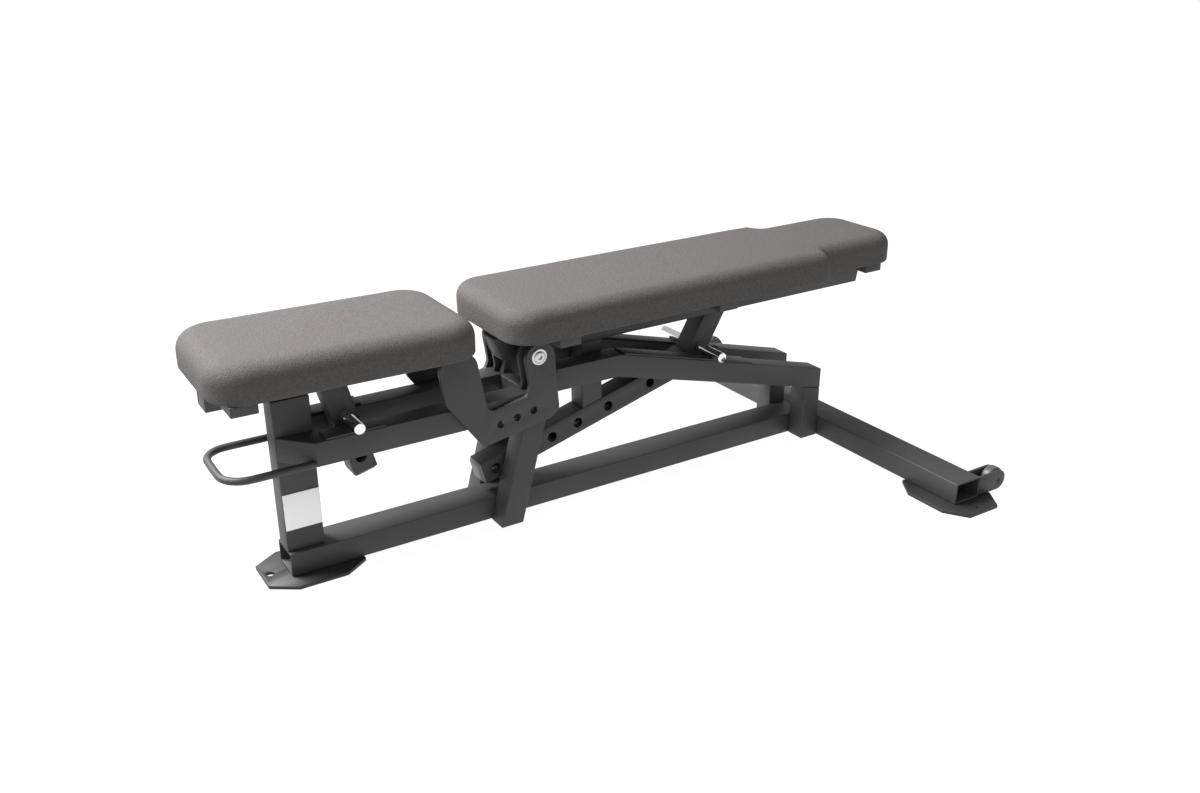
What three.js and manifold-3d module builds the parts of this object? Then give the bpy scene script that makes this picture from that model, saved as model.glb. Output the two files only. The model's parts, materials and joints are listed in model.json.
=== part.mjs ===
// Adjustable weight bench: a welded tube frame with a hinged seat and a hinged back rest, each
// locked by a removable rod that rests on the side rails, and two transport wheels.
// Millimetres. +X runs from the seat end to the head end, +Z up, the bench is mirrored about Y = 0.
// Lengths along the bench are written from the front end of its base beam.
// "Near" is the -Y side and "far" is the +Y side.
import * as THREE from 'three';
import { mergeVertices } from 'three/addons/utils/BufferGeometryUtils.js';
import Module from 'manifold-3d';

const wasm = await Module();
wasm.setup();

// ---- driving dimensions ----------------------------------------------------------------------
const GAP = 0.3; // clearance kept between faces that touch
const TUBE = 40; // square tube, and the narrow side of the wide tube
const WIDE = 60; // wide side of the rectangular tube
const WALL = 3; // tube wall
const LEAN = 15; // degrees: mid posts, seat strut and adjuster tube

const FOOT_THICK = 6;
const FOOT_LENGTH = 160;
const FOOT_WIDTH = 124;
const FOOT_CUT_LONG = 40; // corner cut, along the plate's length
const FOOT_CUT_WIDE = 27; // corner cut, across the plate
const FOOT_FRONT_X = 40;

const BEAM_TOP = FOOT_THICK + TUBE;
const CROSS_X = 1065; // front face of the rear cross tube
const CROSS_HALF = 428;
const REAR_FOOT_Y = 388;

const RAIL_IN = 30; // inner face of rails and posts
const RAIL_OUT = RAIL_IN + TUBE;
const FRONT_RAIL_TOP = 243;
const REAR_RAIL_TOP = 273;
const BEND_X = 592; // where the rear rail starts to slope down
const SLOPE = 14.8; // degrees
const MID_POST_X = 351; // front edge of the mid posts' feet
const POST_TOP = 301;
const BEVEL_X = 46; // length of the bevelled front ends of the front rails

const PLATE = 8; // pivot plates
const CHEEK = 6; // inner cheek plates
const CHEEK_OUT = 51;
const WEAR = 3; // wear plates under the locking rods

const BACK_PIVOT = { x: 425.5, z: 306 };
const SEAT_PIVOT = { x: 278, z: 314 };
const BACK_BOLT_R = 7.9;
const SEAT_PIN_R = 7.9;
const SEAT_PIN_HALF = 75; // the pin ends in blind holes in the pivot plates
const BOLT_PLAY = 0.2; // radial, in the turning tubes

const BACK_TILT = 0.45; // degrees that the head end stands high at rest
const SEAT_TILT = 0.4; // degrees that the front end stands high at rest
const BACK_TUBE_BOTTOM = 288;
const SEAT_TUBE_BOTTOM = 304;
const CROSS_BAR = 16; // height of the bars between frame tubes and pads
const CROSS_BAR_HALF = 118;
const HEAD_BAR_HALF = 89;
const BACK_BUSH_R = 14;
const SEAT_BUSH_R = 12;

const ROD_R = 9;
const BACK_ROD_HALF = 90;
const SEAT_ROD_HALF = 84;
const HOLE_R = 9.3; // holes that the rods pass through

const PAD_HALF = 126;
const PAD_HEIGHT = 55;
const PAD_CORNER = 55;
const PAD_EDGE = 24;
const BOARD = 12; // plywood board let into the underside of each pad
const BOARD_INSET = 14;

const WHEEL = { x: 1174, y: 413, z: 26, r: 22, half: 8.7 };
const CENTRE_X = 559.45; // middle of the bench's length, which becomes X = 0
const BRACKET = 5; // wheel bracket plates

const rad = THREE.MathUtils.degToRad;
const tanLean = Math.tan(rad(LEAN));
const tanSlope = Math.tan(rad(SLOPE));

// ---- materials -------------------------------------------------------------------------------
const finish = (name, color, roughness, metalness) =>
  new THREE.MeshStandardMaterial({ name, color, roughness, metalness });
const steel = finish('powder_coat', 0x444546, 0.6, 0.1);
const chrome = finish('chrome', 0xd8dadc, 0.12, 1);
const wheelGrey = finish('wheel_grey', 0xb9bab8, 0.5, 0);
const blackPlastic = finish('black_plastic', 0x1d1e1f, 0.55, 0);
const upholstery = finish('upholstery', 0x8f8985, 0.55, 0);
const plywood = finish('board', 0x2a2724, 0.8, 0);
const labelWhite = finish('label', 0xe6e7e8, 0.4, 0);
const zinc = finish('zinc', 0x9c9fa2, 0.35, 0.9);

// ---- geometry helpers ------------------------------------------------------------------------
function toSolid(geometry) {
  const bare = geometry.clone();
  bare.deleteAttribute('normal');
  bare.deleteAttribute('uv');
  const merged = mergeVertices(bare, 1e-4);
  return new wasm.Manifold(new wasm.Mesh({
    numProp: 3,
    vertProperties: new Float32Array(merged.attributes.position.array),
    triVerts: new Uint32Array(merged.index.array),
  }));
}

function toGeometry(solid) {
  const mesh = solid.getMesh();
  const geometry = new THREE.BufferGeometry();
  geometry.setAttribute('position', new THREE.BufferAttribute(new Float32Array(mesh.vertProperties), 3));
  geometry.setIndex(new THREE.BufferAttribute(new Uint32Array(mesh.triVerts), 1));
  return geometry;
}

function cut(geometry, ...tools) {
  let solid = toSolid(geometry);
  for (const tool of tools) solid = solid.subtract(toSolid(tool));
  return toGeometry(solid);
}

// A closed outline through corners [a, b, radius]; a corner with a radius is rounded off.
function outline(corners) {
  const shape = new THREE.Shape();
  const points = corners.map(([a, b]) => new THREE.Vector2(a, b));
  corners.forEach(([, , radius = 0], i) => {
    const here = points[i];
    const toPrev = points.at(i - 1).clone().sub(here);
    const toNext = points[(i + 1) % points.length].clone().sub(here);
    const corner = toPrev.angleTo(toNext);
    const trim = radius / Math.tan(corner / 2);
    const reach = (4 / 3) * Math.tan((Math.PI - corner) / 4) * radius;
    const prevWay = toPrev.normalize();
    const nextWay = toNext.normalize();
    const along = (way, distance) => here.clone().addScaledVector(way, distance);
    const [start, end] = [along(prevWay, trim), along(nextWay, trim)];
    const [leave, arrive] = [along(prevWay, trim - reach), along(nextWay, trim - reach)];
    if (i === 0) shape.moveTo(start.x, start.y);
    else shape.lineTo(start.x, start.y);
    if (radius > 0) shape.bezierCurveTo(leave.x, leave.y, arrive.x, arrive.y, end.x, end.y);
  });
  shape.closePath();
  return shape;
}

function circleHole(shape, a, b, radius) {
  const hole = new THREE.Path();
  hole.absarc(a, b, radius, 0, 2 * Math.PI, true);
  shape.holes.push(hole);
  return shape;
}

// A plate whose outline is drawn in X and Z, between two Y values.
function plateXZ(shape, yLow, yHigh, curveSegments = 6) {
  const geometry = new THREE.ExtrudeGeometry(shape, {
    depth: yHigh - yLow, bevelEnabled: false, curveSegments,
  });
  geometry.rotateX(Math.PI / 2);
  return geometry.translate(0, yHigh, 0);
}

// A plate whose outline is drawn in X and Y, between two heights.
function plateXY(shape, zLow, zHigh, curveSegments = 6) {
  const geometry = new THREE.ExtrudeGeometry(shape, {
    depth: zHigh - zLow, bevelEnabled: false, curveSegments,
  });
  return geometry.translate(0, 0, zLow);
}

function box(xLow, xHigh, yLow, yHigh, zLow, zHigh) {
  const geometry = new THREE.BoxGeometry(xHigh - xLow, yHigh - yLow, zHigh - zLow);
  return geometry.translate((xLow + xHigh) / 2, (yLow + yHigh) / 2, (zLow + zHigh) / 2);
}

function cylinderY(x, z, yLow, yHigh, radius, sides = 32) {
  return new THREE.CylinderGeometry(radius, radius, yHigh - yLow, sides)
    .translate(x, (yLow + yHigh) / 2, z);
}

// A tube along a path of [x, z] points: its section is height across the path and spans
// yLow..yHigh. Each end is cut along a direction [dx, dz], square to the path when left out.
// The bore runs out through both ends.
function tube(path, yLow, yHigh, { height = TUBE, startCut, endCut, wall = WALL } = {}) {
  const points = path.map(([x, z]) => new THREE.Vector2(x, z));
  const along = points.slice(1).map((p, i) => p.clone().sub(points[i]).normalize());
  const side = (direction) => new THREE.Vector2(-direction.y, direction.x);
  const edge = (offset, extra) => points.map((p, i) => {
    const before = along[Math.max(i - 1, 0)];
    const after = along[Math.min(i, along.length - 1)];
    if (i > 0 && i < points.length - 1) {
      const miter = side(before).add(side(after)).normalize();
      return p.clone().addScaledVector(miter, offset / miter.dot(side(after)));
    }
    const chosen = i === 0 ? startCut : endCut;
    const face = chosen ? new THREE.Vector2(...chosen) : side(after);
    const reach = offset / face.dot(side(after));
    return p.clone().addScaledVector(face, reach).addScaledVector(after, i === 0 ? -extra : extra);
  });
  const prism = (offset, extra, low, high) => {
    const ring = [...edge(offset, extra), ...edge(-offset, extra).reverse()];
    return plateXZ(outline(ring.map((p) => [p.x, p.y])), low, high);
  };
  const outer = prism(height / 2, 0, yLow, yHigh);
  const bore = prism(height / 2 - wall, 5, yLow + wall, yHigh - wall);
  return cut(outer, bore);
}

const model = new THREE.Group();
const backFrame = new THREE.Group();
const seatFrame = new THREE.Group();
model.add(backFrame, seatFrame);

function addPart(group, name, geometry, material) {
  const mesh = new THREE.Mesh(geometry, material);
  mesh.name = name;
  group.add(mesh);
  return mesh;
}

// Adds one part on the near side and its mirror image on the far side.
// make(yLow, yHigh) builds it between two Y values, given as distances from the middle.
function addPair(group, name, distanceIn, distanceOut, material, make) {
  addPart(group, `${name}_near`, make(-distanceOut, -distanceIn), material);
  addPart(group, `${name}_far`, make(distanceIn, distanceOut), material);
}

// ---- base: beam, cross tube and foot plates --------------------------------------------------
function footOutline(halfX, halfY, cutX, cutY) {
  return outline([
    [-halfX + cutX, -halfY], [halfX - cutX, -halfY], [halfX, -halfY + cutY], [halfX, halfY - cutY],
    [halfX - cutX, halfY], [-halfX + cutX, halfY], [-halfX, halfY - cutY], [-halfX, -halfY + cutY],
  ]);
}

function addBase() {
  const beamZ = FOOT_THICK + GAP + (TUBE - GAP) / 2;
  addPart(model, 'base_beam', tube(
    [[0, beamZ], [CROSS_X - GAP, beamZ]], -WIDE / 2, WIDE / 2, { height: TUBE - GAP },
  ), steel);

  const crossTube = tube([[-CROSS_HALF, beamZ], [CROSS_HALF, beamZ]], -WIDE / 2, WIDE / 2,
    { height: TUBE - GAP });
  crossTube.rotateZ(Math.PI / 2).translate(CROSS_X + WIDE / 2, 0, 0);
  addPart(model, 'rear_cross_tube', crossTube, steel);

  const front = footOutline(FOOT_LENGTH / 2, FOOT_WIDTH / 2, FOOT_CUT_LONG, FOOT_CUT_WIDE);
  circleHole(front, -67, 0, 6.7);
  addPart(model, 'front_foot_plate', plateXY(front, 0, FOOT_THICK), steel)
    .position.set(FOOT_FRONT_X, 0, 0);
  for (const [sideName, way] of [['near', -1], ['far', 1]]) {
    const rear = footOutline(FOOT_WIDTH / 2, FOOT_LENGTH / 2, FOOT_CUT_WIDE, FOOT_CUT_LONG);
    circleHole(rear, 0, way * 65, 4.5);
    addPart(model, `rear_foot_plate_${sideName}`, plateXY(rear, 0, FOOT_THICK), steel)
      .position.set(CROSS_X + WIDE / 2, way * REAR_FOOT_Y, 0);
  }
}

// ---- upright frame: posts, rails and plates --------------------------------------------------
const midPostFront = (z) => MID_POST_X + (z - FOOT_THICK) * tanLean;
const leanWidth = TUBE / Math.cos(rad(LEAN));
const railTop = (x) => REAR_RAIL_TOP - Math.max(0, x - BEND_X) * tanSlope;

function frontRail(yLow, yHigh) {
  const way = Math.sign(yLow + yHigh);
  const railBottom = FRONT_RAIL_TOP - TUBE;
  const postSide = TUBE / 2 + GAP;
  const rearEnd = midPostFront(FRONT_RAIL_TOP) - GAP;
  const plan = outline([
    [0, way * postSide], [BEVEL_X, way * RAIL_OUT], [rearEnd, way * RAIL_OUT],
    [rearEnd, way * RAIL_IN], [WIDE + GAP, way * RAIL_IN], [WIDE + GAP, way * postSide],
  ]);
  const rail = plateXY(plan, railBottom, FRONT_RAIL_TOP);
  const bore = box(WIDE + 10, rearEnd + 5, yLow + WALL, yHigh - WALL,
    railBottom + WALL, FRONT_RAIL_TOP - WALL);
  const rearCut = plateXZ(outline([
    [midPostFront(railBottom) - GAP, railBottom], [midPostFront(railBottom - 20), railBottom - 20],
    [rearEnd + 20, railBottom - 20], [rearEnd + 20, FRONT_RAIL_TOP + 20],
    [midPostFront(FRONT_RAIL_TOP + 20) - GAP, FRONT_RAIL_TOP + 20],
  ]), yLow - 1, yHigh + 1);
  return cut(rail, bore, rearCut);
}

function addUprights() {
  addPart(model, 'front_post', tube(
    [[WIDE / 2, BEAM_TOP + GAP], [WIDE / 2, POST_TOP]], -TUBE / 2, TUBE / 2, { height: WIDE },
  ), steel);
  addPart(model, 'label_plate', box(1, WIDE - 1, -TUBE / 2 - GAP - 1, -TUBE / 2 - GAP, 83.5, 145.5),
    labelWhite);

  const inFace = RAIL_IN + GAP;
  addPair(model, 'front_rail', RAIL_IN, RAIL_OUT, steel, frontRail);

  const midCentre = (z) => midPostFront(z) + leanWidth / 2;
  addPair(model, 'mid_post', inFace, RAIL_OUT, steel, (low, high) => tube(
    [[midCentre(FOOT_THICK), FOOT_THICK], [midCentre(REAR_RAIL_TOP), REAR_RAIL_TOP]], low, high,
    { startCut: [1, 0], endCut: [1, 0] },
  ));

  const railMid = REAR_RAIL_TOP - TUBE / 2;
  const half = TUBE / 2;
  const bendShift = half * Math.tan(rad(SLOPE / 2));
  const rearEnd = CROSS_X - GAP;
  const slopeMid = (x) => railMid - (x - (BEND_X - bendShift)) * tanSlope;
  addPair(model, 'rear_rail', inFace, RAIL_OUT, steel, (low, high) => tube([
    [midPostFront(railMid) + leanWidth + GAP, railMid], [BEND_X - bendShift, railMid],
    [rearEnd, slopeMid(rearEnd)],
  ], low, high, { startCut: [Math.sin(rad(LEAN)), Math.cos(rad(LEAN))], endCut: [0, 1] }));

  const postX = rearEnd - half;
  const railUnder = slopeMid(postX) - half / Math.cos(rad(SLOPE)) - GAP;
  addPair(model, 'rear_post', inFace, RAIL_OUT, steel, (low, high) => tube(
    [[postX, FOOT_THICK], [postX, railUnder]], low, high,
    { endCut: [Math.cos(rad(SLOPE)), -Math.sin(rad(SLOPE))] },
  ));

  const braceX = midPostFront(FRONT_RAIL_TOP - 20);
  addPart(model, 'mid_brace', box(braceX, braceX + 24, -RAIL_IN + GAP, RAIL_IN - GAP,
    FRONT_RAIL_TOP - 26, FRONT_RAIL_TOP), steel);
}

function pivotPlateOutline() {
  const plate = outline([
    [245, 338, 26], [257, 257, 10], [320, 170, 8], [447, 193, 8], [463, 207, 10], [459, 250, 20],
    [453.5, 329, 26], [397, 329, 26], [408, 256, 12], [402, 241, 8], [330, 227, 15], [311, 338, 26],
  ]);
  circleHole(plate, BACK_PIVOT.x, BACK_PIVOT.z, BACK_BOLT_R + GAP);
  for (const [x, z] of [[352, 203], [382.5, 208.5], [413.5, 214]]) circleHole(plate, x, z, 6.8);
  return plate;
}

function backCheekOutline() {
  const railZ = REAR_RAIL_TOP + GAP;
  const postFront = (z) => midPostFront(z) - GAP;
  return circleHole(outline([
    [397, 329, 26], [408, 256, 8], [406, FRONT_RAIL_TOP + GAP],
    [postFront(FRONT_RAIL_TOP), FRONT_RAIL_TOP + GAP], [postFront(railZ), railZ], [454.5, railZ],
    [453.5, 329, 26],
  ]), BACK_PIVOT.x, BACK_PIVOT.z, BACK_BOLT_R + GAP);
}

function addPlates() {
  const blindReach = SEAT_PIN_HALF + GAP;
  const pinHole = cylinderY(SEAT_PIVOT.x, SEAT_PIVOT.z, -blindReach, blindReach, SEAT_PIN_R + GAP);
  addPair(model, 'pivot_plate', RAIL_OUT + GAP, RAIL_OUT + GAP + PLATE, steel,
    (low, high) => cut(plateXZ(pivotPlateOutline(), low, high, 8), pinHole));
  addPair(model, 'back_cheek', CHEEK_OUT - CHEEK, CHEEK_OUT, steel,
    (low, high) => plateXZ(backCheekOutline(), low, high, 8));

  const wearIn = RAIL_IN + 4;
  const wearOut = RAIL_OUT - 1;
  const frontBase = FRONT_RAIL_TOP + GAP;
  addPair(model, 'front_wear_plate', wearIn, wearOut, steel,
    (low, high) => box(64, 159, low, high, frontBase, frontBase + WEAR));
  const wearLine = (x, above) => [x, railTop(x) + GAP + above];
  const [wearStart, wearEnd] = [BEND_X + 8, 888];
  addPair(model, 'rear_wear_plate', wearIn, wearOut, steel, (low, high) => plateXZ(outline([
    wearLine(wearStart, 0), wearLine(wearEnd, 0), wearLine(wearEnd, WEAR), wearLine(wearStart, WEAR),
  ]), low, high));
}

// A plastic end cap for the square tube: a low square frustum that stands out along +Y.
function endCap() {
  const [height, taper] = [5, 5];
  const corner = (TUBE / 2) * Math.SQRT2;
  const cap = new THREE.CylinderGeometry(corner - taper * Math.SQRT2, corner, height, 4);
  return cap.rotateY(Math.PI / 4).translate(0, height / 2 + GAP, 0);
}

// The front loop: a bent round bar whose legs end on the rails' bevelled faces.
function addHandle() {
  const [barR, legY, frontX, height, bend] = [6, 66, -90, 208, 37];
  const points = [new THREE.Vector3(60, -legY, height)];
  for (const [centreY, from] of [[-legY + bend, -90], [legY - bend, -180]]) {
    for (let step = 0; step <= 6; step += 1) {
      const angle = rad(from - step * 15);
      points.push(new THREE.Vector3(frontX + bend + bend * Math.cos(angle),
        centreY + bend * Math.sin(angle), height));
    }
  }
  points.push(new THREE.Vector3(60, legY, height));
  const route = new THREE.CatmullRomCurve3(points, false, 'centripetal');
  const section = new THREE.Shape().absarc(0, 0, barR, 0, 2 * Math.PI);
  const bar = new THREE.ExtrudeGeometry(section, { steps: 60, extrudePath: route, curveSegments: 6 });
  const bevelBlocks = [-1, 1].map((way) => plateXY(outline([
    [-GAP, way * TUBE / 2], [BEVEL_X - GAP, way * (RAIL_OUT + GAP)], [BEVEL_X - GAP, way * 90],
    [80, way * 90], [80, way * TUBE / 2],
  ]), height - 20, height + 20));
  addPart(model, 'front_loop', cut(bar, ...bevelBlocks), steel);
}

// The back turns on a bolt with a low round head, a hexagon socket and a nut. The seat turns on
// a plain pin whose ends sit in blind holes in the pivot plates.
function addPivots() {
  const face = RAIL_OUT + GAP + PLATE + GAP;
  const pivot = BACK_PIVOT;
  const shankR = BACK_BOLT_R;
  const [headR, headHeight] = [14, 4];
  const head = new THREE.LatheGeometry([
    new THREE.Vector2(0, 0), new THREE.Vector2(headR, 0), new THREE.Vector2(headR, headHeight - 1.5),
    new THREE.Vector2(headR - 1.5, headHeight), new THREE.Vector2(0, headHeight),
  ], 32);
  head.rotateX(Math.PI).translate(pivot.x, -face, pivot.z);
  const shank = cylinderY(pivot.x, pivot.z, -face - 1, face + headHeight - 1, shankR);
  const socket = cylinderY(pivot.x, pivot.z, -face - headHeight - 1, -face - 2, shankR * 0.55, 6);
  const bolt = toSolid(head).add(toSolid(shank)).subtract(toSolid(socket));
  addPart(model, 'back_pivot_bolt', toGeometry(bolt), chrome);
  addPart(model, 'back_pivot_nut', cut(
    cylinderY(pivot.x, pivot.z, face, face + headHeight + 1, headR, 32),
    cylinderY(pivot.x, pivot.z, face - 1, face + headHeight + 2, shankR + GAP),
  ), zinc);
  addPart(model, 'seat_pivot_pin',
    cylinderY(SEAT_PIVOT.x, SEAT_PIVOT.z, -SEAT_PIN_HALF, SEAT_PIN_HALF, SEAT_PIN_R), steel);
}

// ---- wheels ----------------------------------------------------------------------------------
function addWheels() {
  const axleR = 4;
  const plateStart = CROSS_X + WIDE + GAP;
  const bracket = () => circleHole(outline([
    [plateStart, 8], [WHEEL.x + 19, 8, 18], [WHEEL.x + 19, 45, 18], [plateStart, 45],
  ]), WHEEL.x, WHEEL.z, axleR + GAP);
  const outerFace = CROSS_HALF;
  const innerFace = 2 * WHEEL.y - outerFace;
  addPair(model, 'wheel_bracket_outer', outerFace - BRACKET, outerFace, steel,
    (low, high) => plateXZ(bracket(), low, high, 8));
  addPair(model, 'wheel_bracket_inner', innerFace, innerFace + BRACKET, steel,
    (low, high) => plateXZ(bracket(), low, high, 8));
  addPair(model, 'wheel_axle', innerFace + 1, outerFace - 1, steel,
    (low, high) => cylinderY(WHEEL.x, WHEEL.z, low, high, axleR, 24));

  const chamfer = 2;
  const tyre = [
    [axleR + 0.15, -WHEEL.half], [WHEEL.r - chamfer, -WHEEL.half], [WHEEL.r, -WHEEL.half + chamfer],
    [WHEEL.r, WHEEL.half - chamfer], [WHEEL.r - chamfer, WHEEL.half], [axleR + 0.15, WHEEL.half],
    [axleR + 0.15, -WHEEL.half],
  ].map(([r, y]) => new THREE.Vector2(r, y));
  for (const [sideName, way] of [['near', -1], ['far', 1]]) {
    addPart(model, `wheel_${sideName}`, new THREE.LatheGeometry(tyre, 40), wheelGrey)
      .position.set(WHEEL.x, way * WHEEL.y, WHEEL.z);
  }
}

// ---- pads ------------------------------------------------------------------------------------
// A pad with a rounded top edge, and a recess below for its board.
function pad(planCorners, boardCorners, bottom, top) {
  const layers = [];
  const steps = 4;
  for (let i = 0; i <= steps; i += 1) {
    const angle = (i / steps) * (Math.PI / 2);
    layers.push([PAD_EDGE * (1 - Math.cos(angle)), top - PAD_EDGE + PAD_EDGE * Math.sin(angle)]);
  }
  const ringAt = (inset, z) => outline(planCorners(inset)).getPoints(5)
    .map((p) => new THREE.Vector3(p.x, p.y, z));
  const rings = [ringAt(0, bottom), ...layers.map(([inset, z]) => ringAt(inset, z))];
  const count = rings[0].length - 1;
  const positions = rings.flatMap((ring) => ring.slice(0, count).flatMap((p) => p.toArray()));
  const index = [];
  for (let level = 0; level + 1 < rings.length; level += 1) {
    for (let i = 0; i < count; i += 1) {
      const [a, b] = [level * count + i, level * count + ((i + 1) % count)];
      index.push(a, b, b + count, a, b + count, a + count);
    }
  }
  const flat = THREE.ShapeUtils.triangulateShape(
    rings[0].slice(0, count).map((p) => new THREE.Vector2(p.x, p.y)), []);
  for (const [a, b, c] of flat) index.push(a, c, b);
  const topStart = (rings.length - 1) * count;
  const lid = THREE.ShapeUtils.triangulateShape(
    rings.at(-1).slice(0, count).map((p) => new THREE.Vector2(p.x, p.y)), []);
  for (const [a, b, c] of lid) index.push(topStart + a, topStart + b, topStart + c);
  const body = new THREE.BufferGeometry();
  body.setAttribute('position', new THREE.Float32BufferAttribute(positions, 3));
  body.setIndex(index);
  const recess = plateXY(outline(boardCorners), bottom - 5, bottom + BOARD + GAP);
  return cut(body, recess);
}

const rectangle = (xLow, xHigh, half, corner) => [
  [xLow, -half, corner], [xHigh, -half, corner], [xHigh, half, corner], [xLow, half, corner],
];

function seatPlan(inset) {
  return rectangle(-105 + inset, 312 - inset, PAD_HALF - inset, PAD_CORNER - inset);
}

// The back pad narrows to a head rest through a shoulder on each side. Moved inwards, a shoulder
// slides towards the seat, its outer corner tightens and its inner corner opens out.
function backPlan(inset) {
  const [front, rear, shoulder, neck, headHalf] = [359, 1224, 1016, 1032, 98];
  const turn = Math.atan2(PAD_HALF - headHalf, neck - shoulder);
  const slide = inset * Math.tan(turn / 2);
  const [wide, narrow] = [PAD_HALF - inset, headHalf - inset];
  const [outerR, innerR, corner] = [Math.max(17 - inset, 3), 5 + inset, PAD_CORNER - inset];
  const half = (way) => [
    [front + inset, way * wide, corner], [shoulder - slide, way * wide, outerR],
    [neck - slide, way * narrow, innerR], [rear - inset, way * narrow, corner],
  ];
  return [...half(-1), ...half(1).reverse()];
}

function addPad(group, name, plan, bottom) {
  addPart(group, `${name}_pad`, pad(plan, plan(BOARD_INSET - 1), bottom, bottom + PAD_HEIGHT),
    upholstery);
  addPart(group, `${name}_pad_board`, plateXY(outline(plan(BOARD_INSET)), bottom, bottom + BOARD),
    plywood);
}

// ---- back frame, in its own level position about the back pivot ------------------------------
const BACK_MAIN_TOP = BACK_TUBE_BOTTOM + TUBE;
const BACK_PAD_BOTTOM = BACK_MAIN_TOP + GAP + CROSS_BAR + GAP;
const adjusterMid = (x) => 122.3 + (x - 464) * tanLean;

// Turns a point about a pivot, by degrees, in the way that lifts the +X end.
function turned(point, pivot, degrees) {
  const [c, s] = [Math.cos(rad(degrees)), Math.sin(rad(degrees))];
  const [dx, dz] = [point.x - pivot.x, point.z - pivot.z];
  return { x: pivot.x + dx * c - dz * s, z: pivot.z + dx * s + dz * c };
}

// Both rods rest on the wear plates; the back rod stands square to the rails' slope.
const restX = 795.6;
const backRod = {
  x: restX + (ROD_R + GAP) * Math.sin(rad(SLOPE)),
  z: railTop(restX) + GAP + WEAR + (ROD_R + GAP) * Math.cos(rad(SLOPE)),
};
const seatRod = { x: 112, z: FRONT_RAIL_TOP + GAP + WEAR + GAP + ROD_R };
const backRodHole = turned(backRod, BACK_PIVOT, -BACK_TILT);
const seatRodHole = turned(seatRod, SEAT_PIVOT, SEAT_TILT);

function addBackFrame() {
  const mid = BACK_TUBE_BOTTOM + TUBE / 2;
  const boltHole = cylinderY(BACK_PIVOT.x, BACK_PIVOT.z, -50, 50, BACK_BOLT_R + BOLT_PLAY);
  const mainTube = tube([[381, mid], [1192, mid]], -TUBE / 2, TUBE / 2,
    { startCut: [-0.4, 1], endCut: [0.2, 1] });
  addPart(backFrame, 'back_main_tube', cut(mainTube, boltHole), steel);
  addPair(backFrame, 'back_pivot_bush', TUBE / 2 + GAP, CHEEK_OUT - CHEEK - GAP, blackPlastic,
    (low, high) => cut(cylinderY(BACK_PIVOT.x, BACK_PIVOT.z, low, high, BACK_BUSH_R),
      cylinderY(BACK_PIVOT.x, BACK_PIVOT.z, low - 1, high + 1, BACK_BOLT_R + BOLT_PLAY)));

  const adjusterTop = (x) => adjusterMid(x) + TUBE / 2 / Math.cos(rad(LEAN));
  const strutSlope = 30;
  const strutMid = (z) => backRodHole.x + (z - backRodHole.z) * Math.tan(rad(strutSlope));
  const strutDirection = [Math.sin(rad(strutSlope)), Math.cos(rad(strutSlope))];
  const strutFoot = backRodHole.z - 27;
  const rodBore = cylinderY(backRodHole.x, backRodHole.z, -50, 50, HOLE_R);
  addPart(backFrame, 'back_strut', cut(tube(
    [[strutMid(strutFoot), strutFoot], [strutMid(BACK_TUBE_BOTTOM - GAP), BACK_TUBE_BOTTOM - GAP]],
    -TUBE / 2, TUBE / 2, { endCut: [1, 0] },
  ), rodBore), steel);

  const adjusterStart = 344;
  const endX = strutMid(strutFoot) - TUBE / 2 / strutDirection[1] - 4;
  const holes = [368, 426, 480, 533, 597, 688].map((x) =>
    cylinderY(x, adjusterMid(x) - 1.5, -50, 50, HOLE_R, 28));
  const strutClear = tube([[strutMid(100), 100], [strutMid(280), 280]], -50, 50,
    { height: TUBE + 2 * GAP, wall: TUBE / 2 });
  addPart(backFrame, 'adjuster_tube', cut(tube(
    [[adjusterStart, adjusterMid(adjusterStart)], [endX, adjusterMid(endX)]],
    -TUBE / 2, TUBE / 2,
    { endCut: strutDirection },
  ), ...holes), steel);
  const cap = endCap().rotateZ(Math.PI / 2).rotateY(rad(-LEAN));
  addPart(backFrame, 'adjuster_cap',
    cap.translate(adjusterStart, 0, adjusterMid(adjusterStart)), blackPlastic);

  const hangerX = 563.5;
  addPart(backFrame, 'back_hanger_tube', tube(
    [[hangerX, adjusterTop(hangerX) + GAP], [hangerX, BACK_TUBE_BOTTOM - GAP]],
    -TUBE / 2, TUBE / 2,
    { startCut: [Math.cos(rad(LEAN)), Math.sin(rad(LEAN))] },
  ), steel);

  for (const [place, x, half] of [
    ['pivot', 443, CROSS_BAR_HALF], ['middle', 766, CROSS_BAR_HALF], ['head', 1143, HEAD_BAR_HALF],
  ]) {
    addPart(backFrame, `back_cross_bar_${place}`,
      box(x, x + TUBE, -half, half, BACK_MAIN_TOP + GAP, BACK_MAIN_TOP + GAP + CROSS_BAR), steel);
  }
  addPad(backFrame, 'back', backPlan, BACK_PAD_BOTTOM);
  addPart(backFrame, 'back_locking_rod',
    cylinderY(backRodHole.x, backRodHole.z, -BACK_ROD_HALF, BACK_ROD_HALF, ROD_R, 28), chrome);
}

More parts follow.
